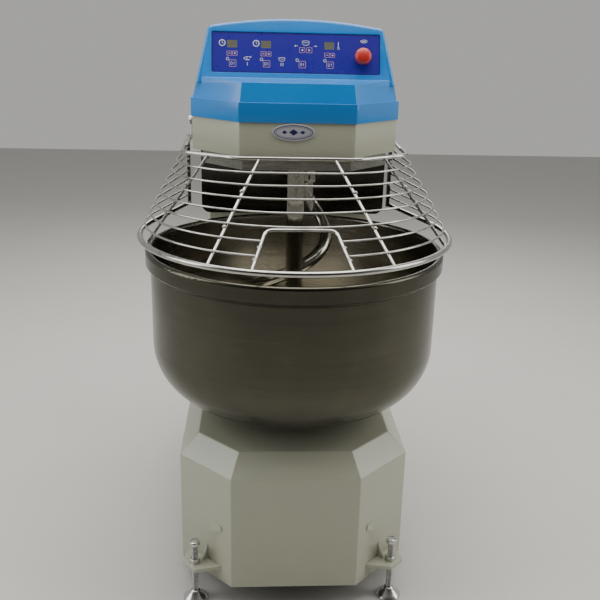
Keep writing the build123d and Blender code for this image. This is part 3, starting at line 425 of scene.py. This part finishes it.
def cast_iron():
    """Grey casting with a grainy skin."""
    finish = Finish("cast_iron", metallic=0.7)
    grain = finish.noise(320, 6)
    finish.color(finish.mix(grain, (0.10, 0.105, 0.11), (0.20, 0.20, 0.20)))
    finish.roughness(finish.span(finish.noise(40, 5), 0.3, 0.7, 0.45, 0.7))
    finish.round_edges(0.001)
    finish.bump(grain, 0.00015)
    return finish.material


def plastic(name, base, roughness, depth=0.00003, coat=0.0):
    """Moulded plastic or rubber with a fine grain."""
    finish = Finish(name, coat=coat)
    finish.color(finish.mix(finish.span(finish.noise(12, 4), 0.35, 0.7), base, tuple(0.85 * c for c in base)))
    finish.roughness(finish.span(finish.noise(30, 4), 0.3, 0.7, *roughness))
    finish.round_edges(0.0008)
    finish.bump(finish.noise(700, 2), depth)
    return finish.material


def panel_film():
    """Printed membrane over the control panel: embossed pebble grain under a satin gloss."""
    finish = Finish("panel_film", coat=0.25)
    finish.color(finish.mix(finish.noise(9, 4), (0.030, 0.018, 0.33), (0.026, 0.020, 0.29)))
    finish.roughness(finish.span(finish.noise(25, 4), 0.3, 0.7, 0.26, 0.31))
    finish.bump(finish.cells(900), 0.00003)
    return finish.material


def window_glass():
    """Smoked window over an unlit display, with the display's raster behind it."""
    finish = Finish("lcd", coat=0.6)
    raster = finish.noise(1.0, 1, finish.stretched((2600, 10, 10)))
    finish.color(finish.mix(raster, (0.205, 0.200, 0.145), (0.165, 0.160, 0.112)))
    finish.roughness(finish.span(finish.noise(80, 3), 0.3, 0.7, 0.12, 0.22))
    return finish.material


def print_ink(name, base):
    """Screen-printed ink with slightly uneven cover."""
    finish = Finish(name)
    finish.color(finish.mix(finish.noise(600, 3), base, tuple(0.82 * c for c in base)))
    finish.roughness(finish.span(finish.noise(300, 2), 0.3, 0.7, 0.35, 0.5))
    finish.bump(finish.noise(1500, 2), 0.00001)
    return finish.material


finishes = {
    "grey_paint": paint("grey_paint", (0.46, 0.47, 0.36)),
    "dark_paint": paint("dark_paint", (0.05, 0.05, 0.055), (0.35, 0.5)),
    "blue_cover": gloss_cover(),
    "panel_film": panel_film(),
    "lcd": window_glass(),
    "red_plastic": plastic("red_plastic", (0.62, 0.035, 0.022), (0.28, 0.42), coat=0.2),
    "black_plastic": plastic("black_plastic", (0.018, 0.018, 0.019), (0.35, 0.55)),
    "grey_plastic": plastic("grey_plastic", (0.30, 0.30, 0.30), (0.35, 0.5)),
    "badge_enamel": plastic("badge_enamel", (0.50, 0.50, 0.55), (0.2, 0.3), coat=0.4),
    # Painted shade and painted light: the steel is coloured very dark, standing in for the dark room it
    # mirrors outside, and lighter inside, standing in for the lit inside of the bowl
    "stainless_bowl": polished_rings(
        "stainless_bowl",
        (0.088, 0.085, 0.066),
        bowl_axis,
        (0.17, 0.29),
        scratches=0.7,
        soiled=0.05,
        inner_painted_light=((0.42, 0.40, 0.34), middle("bowl")),
    ),
    "stainless_bright": bright_bar(),
    "stainless_plate": brushed_sheet("stainless_plate", (0.13, 0.125, 0.11), (0.14, 0.26)),
    "skirt_plate": brushed_sheet("skirt_plate", (0.34, 0.34, 0.30), (0.20, 0.34)),
    "tool_steel": polished_rings(
        "tool_steel", (0.36, 0.35, 0.31), spiral_axis, (0.07, 0.14), depth=0.000004, streak=0.05
    ),
    "zinc_steel": turned_steel("zinc_steel", (0.62, 0.62, 0.60), (0.18, 0.28), 0.06, 90.0),
    "plain_steel": turned_steel("plain_steel", (0.38, 0.38, 0.38), (0.28, 0.45)),
    "bearing_steel": turned_steel("bearing_steel", (0.60, 0.60, 0.62), (0.10, 0.20), 0.05),
    "cast_iron": cast_iron(),
    "motor_grey": plastic("motor_grey", (0.10, 0.12, 0.14), (0.4, 0.55), depth=0.0001),
    "belt_rubber": plastic("belt_rubber", (0.012, 0.012, 0.012), (0.6, 0.8), depth=0.0001),
}
inks = {
    "white": print_ink("white_ink", (0.80, 0.80, 0.82)),
    "red": print_ink("red_ink", (0.70, 0.36, 0.36)),
    "navy": print_ink("navy_ink", (0.010, 0.018, 0.11)),
    "segment": print_ink("segment_ink", (0.07, 0.068, 0.04)),
}

slot_of = {row["node"]: row["material_slot"] for row in frame["record"]["subparts"]}
# The ring shares its slot with the splash shield, but is coloured a lighter steel: painted light, standing in
# for the bright surroundings that it reflects
own_finish = {"bowl_foot_ring": brushed_sheet("foot_ring_painted_light", (0.42, 0.41, 0.36), (0.20, 0.34))}
for name, piece in nodes.items():
    piece.data.materials.clear()
    piece.data.materials.append(own_finish.get(name, finishes[slot_of[name]]))

# ---------------------------------------------------------------- mesh helpers


def finish_piece(name, shape, body, material):
    """Turns a bmesh into a piece that rides on a body."""
    mesh = bpy.data.meshes.new(name)
    shape.to_mesh(mesh)
    shape.free()
    mesh.materials.append(material)
    piece = bpy.data.objects.new(name, mesh)
    scene.collection.objects.link(piece)
    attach(piece, body)
    return piece


def smooth(piece, angle):
    """Smooth shading, with creases kept above an angle in degrees."""
    piece.data.shade_smooth()
    with bpy.context.temp_override(object=piece, active_object=piece, selected_objects=[piece]):
        bpy.ops.object.shade_auto_smooth(angle=math.radians(angle))


def bake_modifiers(piece):
    """Makes a piece's modifiers part of its mesh."""
    graph = bpy.context.evaluated_depsgraph_get()
    mesh = bpy.data.meshes.new_from_object(piece.evaluated_get(graph))
    piece.modifiers.clear()
    piece.data = mesh


def soften(name, node, width, segments):
    """A copy of a CAD node with real rounded edges, which stands for it."""
    source = nodes[node]
    shape = bmesh.new()
    shape.from_mesh(source.data)
    bmesh.ops.remove_doubles(shape, verts=shape.verts, dist=1e-6)
    bmesh.ops.dissolve_limit(shape, angle_limit=math.radians(0.4), verts=shape.verts, edges=shape.edges)
    piece = finish_piece(name, shape, source["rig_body"], source.data.materials[0])
    bevel = piece.modifiers.new("edges", "BEVEL")
    bevel.width = width
    bevel.segments = segments
    bevel.limit_method = "ANGLE"
    bevel.angle_limit = math.radians(28)
    bevel.miter_outer = "MITER_ARC"
    bevel.harden_normals = False
    bake_modifiers(piece)
    smooth(piece, 40)
    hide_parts(node)


soften("cover_shell", "top_cover", 5.0 * MM, 5)
soften("head_shell", "head_housing", 1.2 * MM, 4)
soften("column_shell", "column_housing", 2.0 * MM, 4)
soften("service_cover", "rear_cover", 0.6 * MM, 3)
soften("foot_plates", "foot_brackets", 1.0 * MM, 3)
soften("clamp_collar", "spiral_collar", 0.8 * MM, 3)
soften("lock_nuts", "foot_lock_nuts", 0.7 * MM, 3)
soften("hinge_bolts", "guard_hinge_bolts", 0.8 * MM, 3)

# ---------------------------------------------------------------- printed graphics


INK_FOOT = -0.05  # millimetres, a little under the face
INK_TOP = 0.15


class Print:
    """Thin raised ink on a flat face: shapes in millimetres on the face, gathered by colour."""

    def __init__(self, origin, right, up):
        self.origin = origin
        self.right = right.normalized()
        self.up = up.normalized()
        self.out = self.right.cross(self.up)
        self.shapes = {}

    def place(self, point, lift):
        return self.origin + (self.right * point[0] + self.up * point[1] + self.out * lift) * MM

    def strip(self, ink, first, second, closed=False, foot=INK_FOOT, top=INK_TOP):
        """A closed prism between two lines of points that run side by side."""
        shape = self.shapes.setdefault(ink, bmesh.new())
        rows = [
            [shape.verts.new(self.place(p, z)) for p in line] for line in (first, second) for z in (foot, top)
        ]
        low_a, top_a, low_b, top_b = rows
        count = len(first)
        for k in range(count if closed else count - 1):
            n = (k + 1) % count
            shape.faces.new((top_a[k], top_a[n], top_b[n], top_b[k]))
            shape.faces.new((low_a[k], low_b[k], low_b[n], low_a[n]))
            shape.faces.new((low_a[k], low_a[n], top_a[n], top_a[k]))
            shape.faces.new((low_b[k], top_b[k], top_b[n], low_b[n]))
        if not closed:
            for k in (0, -1):
                shape.faces.new((low_a[k], top_a[k], top_b[k], low_b[k]))

    def plate(self, ink, outline):
        """A closed prism over an outline."""
        shape = self.shapes.setdefault(ink, bmesh.new())
        low = [shape.verts.new(self.place(p, INK_FOOT)) for p in outline]
        high = [shape.verts.new(self.place(p, INK_TOP)) for p in outline]
        shape.faces.new(high)
        shape.faces.new(low[::-1])
        for k in range(len(outline)):
            n = (k + 1) % len(outline)
            shape.faces.new((low[k], low[n], high[n], high[k]))

    def line(self, ink, points, width, **heights):
        """A ribbon along points, with mitred corners."""
        left, right = [], []
        for k, (x, y) in enumerate(points):
            before = points[max(k - 1, 0)]
            after = points[min(k + 1, len(points) - 1)]
            a = Vector((x - before[0], y - before[1])).normalized() if k else None
            b = Vector((after[0] - x, after[1] - y)).normalized() if k < len(points) - 1 else None
            along = ((a or b) + (b or a)).normalized()
            across = Vector((-along.y, along.x)) * width / 2
            if a and b:
                across /= max(0.5, along.dot(b))
            left.append((x + across.x, y + across.y))
            right.append((x - across.x, y - across.y))
        self.strip(ink, left, right, **heights)

    def arc(self, ink, centre, reach, start, end, width, squash):
        """A ribbon along part of an ellipse, in degrees."""
        steps = 28
        turns = [math.radians(start + (end - start) * k / steps) for k in range(steps + 1)]
        x, y = centre
        self.line(ink, [(x + reach * math.cos(t), y + squash * reach * math.sin(t)) for t in turns], width)

    def ring(self, ink, outline, width):
        """A ribbon inside a closed outline about its own middle."""
        x = sum(p[0] for p in outline) / len(outline)
        y = sum(p[1] for p in outline) / len(outline)
        across = 1 - width / max(abs(p[0] - x) for p in outline)
        upright = 1 - width / max(abs(p[1] - y) for p in outline)
        inner = [(x + (p[0] - x) * across, y + (p[1] - y) * upright) for p in outline]
        self.strip(ink, outline, inner, closed=True)

    def finish(self, prefix, slot):
        """Makes one piece for each ink, on the fixed body."""
        for ink, shape in self.shapes.items():
            bmesh.ops.recalc_face_normals(shape, faces=shape.faces)
            finish_piece(f"{prefix}_{ink}", shape, "root", inks[ink])


def oval(centre, half_width, half_height, steps=40):
    """Points round an ellipse."""
    turns = [2 * math.pi * k / steps for k in range(steps)]
    return [(centre[0] + half_width * math.cos(t), centre[1] + half_height * math.sin(t)) for t in turns]


def rounded(centre, width, height, radius):
    """Points round a rectangle with rounded corners."""
    steps = 5
    points = []
    for quarter, (sx, sy) in enumerate(((1, 1), (-1, 1), (-1, -1), (1, -1))):
        x = centre[0] + sx * (width / 2 - radius)
        y = centre[1] + sy * (height / 2 - radius)
        for k in range(steps + 1):
            turn = math.radians(90 * quarter + 90 * k / steps)
            points.append((x + radius * math.cos(turn), y + radius * math.sin(turn)))
    return points


panel_normal = -Vector(joints["stop_button_press"]["axis"]).normalized()
panel_right = Vector((1, 0, 0))
panel_up = panel_normal.cross(panel_right)
PANEL_HALF_THICKNESS = 1.25 * MM
panel = Print(middle("control_panel") + panel_normal * PANEL_HALF_THICKNESS, panel_right, panel_up)


def print_clock(x, y):
    """A dial with two hands: the timers."""
    panel.ring("white", oval((x, y), 8.5, 8.5), 2.2)
    panel.line("white", [(x, y + 5), (x, y), (x + 3.6, y - 2)], 1.2)


def print_square_key(x, y):
    """A membrane key marked with an upright oval and a bar."""
    panel.ring("red", rounded((x, y), 18, 18, 2.5), 1.1)
    panel.ring("white", oval((x - 3, y), 2.6, 4.2, 24), 0.9)
    panel.line("white", [(x + 3.4, y - 4), (x + 3.4, y + 4)], 1.0)


def print_step_keys(x, y):
    """Minus and plus keys side by side."""
    for side in (-1, 1):
        centre = x + side * 7
        panel.ring("red", rounded((centre, y), 13, 12, 2), 1.0)
        panel.line("white", [(centre - 3, y), (centre + 3, y)], 1.1)
    # The upright stroke of the plus is in two halves, so that it doesn't cross the other
    for way in (-1, 1):
        panel.line("white", [(x + 7, y + way * 0.55), (x + 7, y + way * 3)], 1.1)


def print_lamp(x, y):
    """A round indicator window."""
    panel.ring("white", oval((x, y), 4.0, 4.0, 28), 1.3)


def print_spiral(x, y):
    """The dough hook's symbol."""
    panel.arc("white", (x, y), 9, 20, 300, 1.3, 0.45)
    panel.arc("white", (x + 1, y - 1), 4.5, 100, 330, 1.2, 0.5)
    panel.line("white", [(x + 6, y + 3), (x + 10, y + 6)], 1.2)


def print_bowl(x, y, size=1.0):
    """The bowl's symbol: an open oval over a rounded body."""
    panel.ring("white", oval((x, y + 2 * size), 9 * size, 2.6 * size), 1.1)
    panel.arc("white", (x, y + 1 * size), 8.4 * size, 200, 340, 1.2, 0.8)


def print_arrow(x, y, way):
    """An arrow that points left (-1) or right (1)."""
    panel.line("white", [(x - 3 * way, y), (x + 2.2 * way, y)], 1.2)
    panel.plate("white", [(x + 2.4 * way, y + 2.6), (x + 6 * way, y), (x + 2.4 * way, y - 2.6)][::way])


for x in (-187, -101.5):
    print_clock(x, 23)
for x in (-162, -76.5, 85):
    print_step_keys(x, -3)
for x in (-160.5, -75, 15.5, 86):
    print_square_key(x, -28)
for x in (-173.5, -88, 2.5, 73):
    print_lamp(x, -17)
print_spiral(-123, -15)
panel.line("white", [(-123.5, -33), (-123.5, -25)], 1.6)
print_bowl(-36.5, -15)
for x in (-38.5, -33.5):
    panel.line("white", [(x, -33), (x, -25)], 1.6)
print_bowl(24, 27.5, 1.15)
print_arrow(1, 19, -1)
print_arrow(47, 19, 1)
# The two keys under the arrows, for the bowl's direction
for x in (15, 33):
    panel.ring("red", rounded((x, 8.5), 15, 14, 2), 1.0)
panel.plate("white", [(12, 8.5), (17.5, 11.5), (17.5, 5.5)])
panel.plate("white", [(36, 8.5), (30.5, 5.5), (30.5, 11.5)])
# Thermometer
panel.ring("white", oval((107, 15), 3.2, 3.2, 24), 1.0)
panel.line("white", [(107, 19), (107, 31)], 1.8)
# Hand mark over the stop button, in place of a word
panel.ring("white", oval((172, 34), 9, 4.2), 1.2)
panel.line("white", [(167, 34), (177, 34)], 1.6)
# Border line of the film
panel.ring("navy", rounded((0, 0), 424, 99, 5), 1.4)
panel.finish("panel_print", "panel_film")

# Unlit display digits, on the faces of the three windows
WINDOW_HALF_THICKNESS = 1.1 * MM
WINDOW_HALF_WIDTH = 12.5
WINDOW_SPACING = 85.5  # between the left window and the middle one
STROKE = {"width": 1.0, "foot": -0.02, "top": 0.06}
glass = Print(middle("display_windows") + panel_normal * WINDOW_HALF_THICKNESS, panel_right, panel_up)
low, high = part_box("display_windows")
right_window = (high.x - low.x) / MM / 2 - WINDOW_HALF_WIDTH
for window_x in (-right_window, WINDOW_SPACING - right_window, right_window):
    for digit in (-1, 1):
        x = window_x + digit * 5
        for y in (-5.6, 0.0, 5.6):
            glass.line("segment", [(x - 2.6, y), (x + 2.6, y)], **STROKE)
        for side_x in (x - 3.4, x + 3.4):
            for y in (-2.8, 2.8):
                glass.line("segment", [(side_x, y - 2.0), (side_x, y + 2.0)], **STROKE)
glass.finish("display_print", "lcd")

# Badge: an oval border and a plain row of lozenges
badge_face = middle("badge")
badge_face.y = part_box("badge")[0].y
badge = Print(badge_face, Vector((1, 0, 0)), Vector((0, 0, 1)))
badge.ring("navy", oval((0, 0), 47, 17, 64), 1.6)
badge.ring("navy", oval((0, 0), 42.5, 13.4, 64), 0.7)
for x, reach in ((-22, 4.5), (0, 7.5), (22, 4.5)):
    badge.plate("navy", [(x + 1.5 * reach, 0), (x, reach), (x - 1.5 * reach, 0), (x, -reach)])
badge.finish("badge_print", "badge_enamel")

# ---------------------------------------------------------------- levelling feet


def lathe(shape, centre, profile, segments=40):
    """Closed skin of revolution through (radius, height) pairs in millimetres."""
    turns = [2 * math.pi * k / segments for k in range(segments)]
    rings = []
    for radius, z in profile:
        reach = radius * MM
        rings.append([
            shape.verts.new((centre.x + reach * math.cos(t), centre.y + reach * math.sin(t), z * MM))
            for t in turns
        ])
    for lower, upper in zip(rings, rings[1:]):
        for k in range(segments):
            n = (k + 1) % segments
            shape.faces.new((lower[k], lower[n], upper[n], upper[k]))
    shape.faces.new(rings[0][::-1])
    shape.faces.new(rings[-1])


THREAD_PITCH = 2.0
THREAD_RADIUS = 8
ROOT_RADIUS = 7.1
THREAD_FOOT = 30
FOOT_DISC = [
    (30.5, 0), (31.6, 0.5), (32, 1.6), (32, 3), (31.2, 4.6), (24, 11), (16.5, 19), (12, 24.5), (11, 26)
]
for node in sorted(name for name in nodes if name.startswith("levelling_foot_")):
    low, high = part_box(node)
    centre = (low + high) / 2
    top = high.z / MM
    head_foot = top - 12
    shape = bmesh.new()
    profile = FOOT_DISC + [(THREAD_RADIUS, 26), (THREAD_RADIUS, THREAD_FOOT)]
    for k in range(int((head_foot - THREAD_FOOT - 2) / THREAD_PITCH)):
        z = THREAD_FOOT + k * THREAD_PITCH
        profile += [(ROOT_RADIUS, z + 0.6), (ROOT_RADIUS, z + 0.9)]
        profile += [(THREAD_RADIUS, z + 1.5), (THREAD_RADIUS, z + THREAD_PITCH)]
    profile += [(THREAD_RADIUS, head_foot)]
    lathe(shape, centre, profile)
    # Chamfered hexagon head
    lathe(shape, centre, [(12.6, head_foot), (14, head_foot + 1), (14, top - 1.2), (12.2, top)], segments=6)
    name = node.replace("levelling_foot_", "screw_")
    foot = finish_piece(name, shape, nodes[node]["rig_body"], finishes["zinc_steel"])
    smooth(foot, 24)
    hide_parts(node)

# ---------------------------------------------------------------- cable gland and cover screws

# Grip ribs along the gland's round cap
GLAND_CAP_RADIUS = 15.0
RIB_COUNT = 24
gland = middle("cable_gland")
gland_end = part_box("cable_gland")[1].y
ribs = bmesh.new()
for k in range(RIB_COUNT):
    turn = 2 * math.pi * k / RIB_COUNT
    corners = []
    for reach in (GLAND_CAP_RADIUS - 0.6, GLAND_CAP_RADIUS + 1.0):
        for side in (-0.045, 0.045):
            corners.append((reach * math.cos(turn + side), reach * math.sin(turn + side)))
    inner_a, inner_b, outer_a, outer_b = corners
    loop = (inner_a, outer_a, outer_b, inner_b)
    ends = [
        [ribs.verts.new((gland.x + p[0] * MM, gland_end - depth * MM, gland.z + p[1] * MM)) for p in loop]
        for depth in (1.2, 14.8)
    ]
    ribs.faces.new(ends[0])
    ribs.faces.new(ends[1][::-1])
    for n in range(4):
        m = (n + 1) % 4
        ribs.faces.new((ends[0][n], ends[1][n], ends[1][m], ends[0][m]))
bmesh.ops.recalc_face_normals(ribs, faces=ribs.faces)
finish_piece("gland_ribs", ribs, "root", finishes["black_plastic"])
soften("cover_screws", "rear_cover_screws", 0.9 * MM, 3)

# ---------------------------------------------------------------- weld beads


def crossings(first, second, reach):
    """Middles of the places where two nodes' surfaces cross, one for each group within a reach."""
    meshes = [nodes[name].data for name in (first, second)]
    trees = [
        BVHTree.FromPolygons([v.co for v in mesh.vertices], [p.vertices[:] for p in mesh.polygons])
        for mesh in meshes
    ]
    groups = []
    for index, _ in trees[0].overlap(trees[1]):
        spot = meshes[0].polygons[index].center
        for group in groups:
            if (group[0] - spot).length < reach:
                group.append(spot)
                break
        else:
            groups.append([spot.copy()])
    return [sum(group, Vector()) / len(group) for group in groups]


def bead(shape, centre, size, turn):
    """A small uneven drop of weld."""
    made = bmesh.ops.create_icosphere(shape, subdivisions=2, radius=size)
    for vertex in made["verts"]:
        swell = 1 + 0.10 * math.sin(5 * turn.random() + 900 * vertex.co.x) * turn.random()
        vertex.co = centre + vertex.co * swell


chance = random.Random(7)
beads = bmesh.new()
for first, second, size in (
    ("guard_rods", "guard_wires", 4.4),
    ("guard_chute_frame", "guard_wires", 4.4),
    ("guard_rear_posts", "guard_wires", 4.2),
    ("guard_rods", "guard_bottom_ring", 5.2),
    ("guard_rods", "guard_top_tube", 4.8),
    ("guard_chute_frame", "guard_bottom_ring", 5.2),
):
    for spot in crossings(first, second, 14 * MM):
        bead(beads, spot, size * MM, chance)
welds = finish_piece("guard_welds", beads, "guard", finishes["stainless_bright"])
smooth(welds, 60)

# ---------------------------------------------------------------- floor

floor_shape = bmesh.new()
bmesh.ops.create_grid(floor_shape, x_segments=4, y_segments=4, size=8)
floor_mesh = bpy.data.meshes.new("floor")
floor_shape.to_mesh(floor_mesh)
floor_shape.free()
floor = bpy.data.objects.new("floor", floor_mesh)
floor.location.z = cad_box[0][2] - 0.0005
scene.collection.objects.link(floor)
floor_finish = Finish("floor", roughness=0.7)
floor_finish.color(floor_finish.mix(floor_finish.noise(3, 4), (0.62, 0.61, 0.58), (0.58, 0.57, 0.54)))
floor_mesh.materials.append(floor_finish.material)
